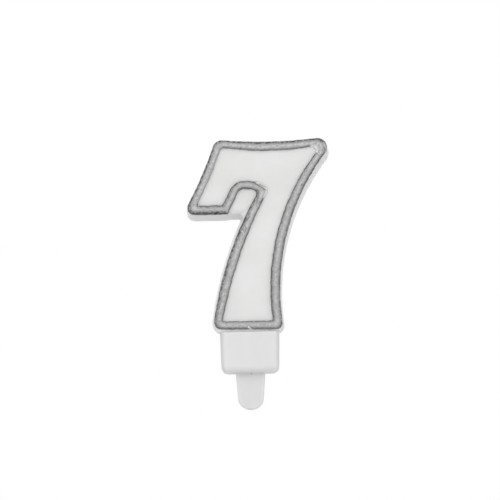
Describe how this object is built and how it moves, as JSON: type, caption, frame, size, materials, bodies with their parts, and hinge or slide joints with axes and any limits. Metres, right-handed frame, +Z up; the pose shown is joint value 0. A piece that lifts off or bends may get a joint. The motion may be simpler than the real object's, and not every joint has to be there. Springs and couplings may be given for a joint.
{
  "type": "number birthday candle",
  "caption": "Flat white wax numeral candle with a raised silver outline and an inner wick, standing in a small plastic cup with a flat tongue that pushes into a cake.",
  "frame": {"origin": "on the pick's axis, where the tongue leaves the underside of the cup", "axes": "+Z up along the pick from tongue to numeral, +X to the right as seen from the numeral's face, and the face looks along -Y"},
  "size_m": [0.0396, 0.01, 0.0744],
  "materials": {
    "wax": "satin",
    "silver_paint": "satin",
    "cotton": "matte",
    "holder_plastic": "satin"
  },
  "bodies": {
    "holder": {"pick_holder": "holder_plastic"},
    "numeral": {"wax_numeral": "wax", "silver_outline": "silver_paint", "wick": "cotton"}
  },
  "joints": [
    {"name": "numeral_pull", "type": "slide", "parent": "holder", "child": "numeral", "axis": [0, 0, 1], "range_m": [0, 0.012]}
  ]
}
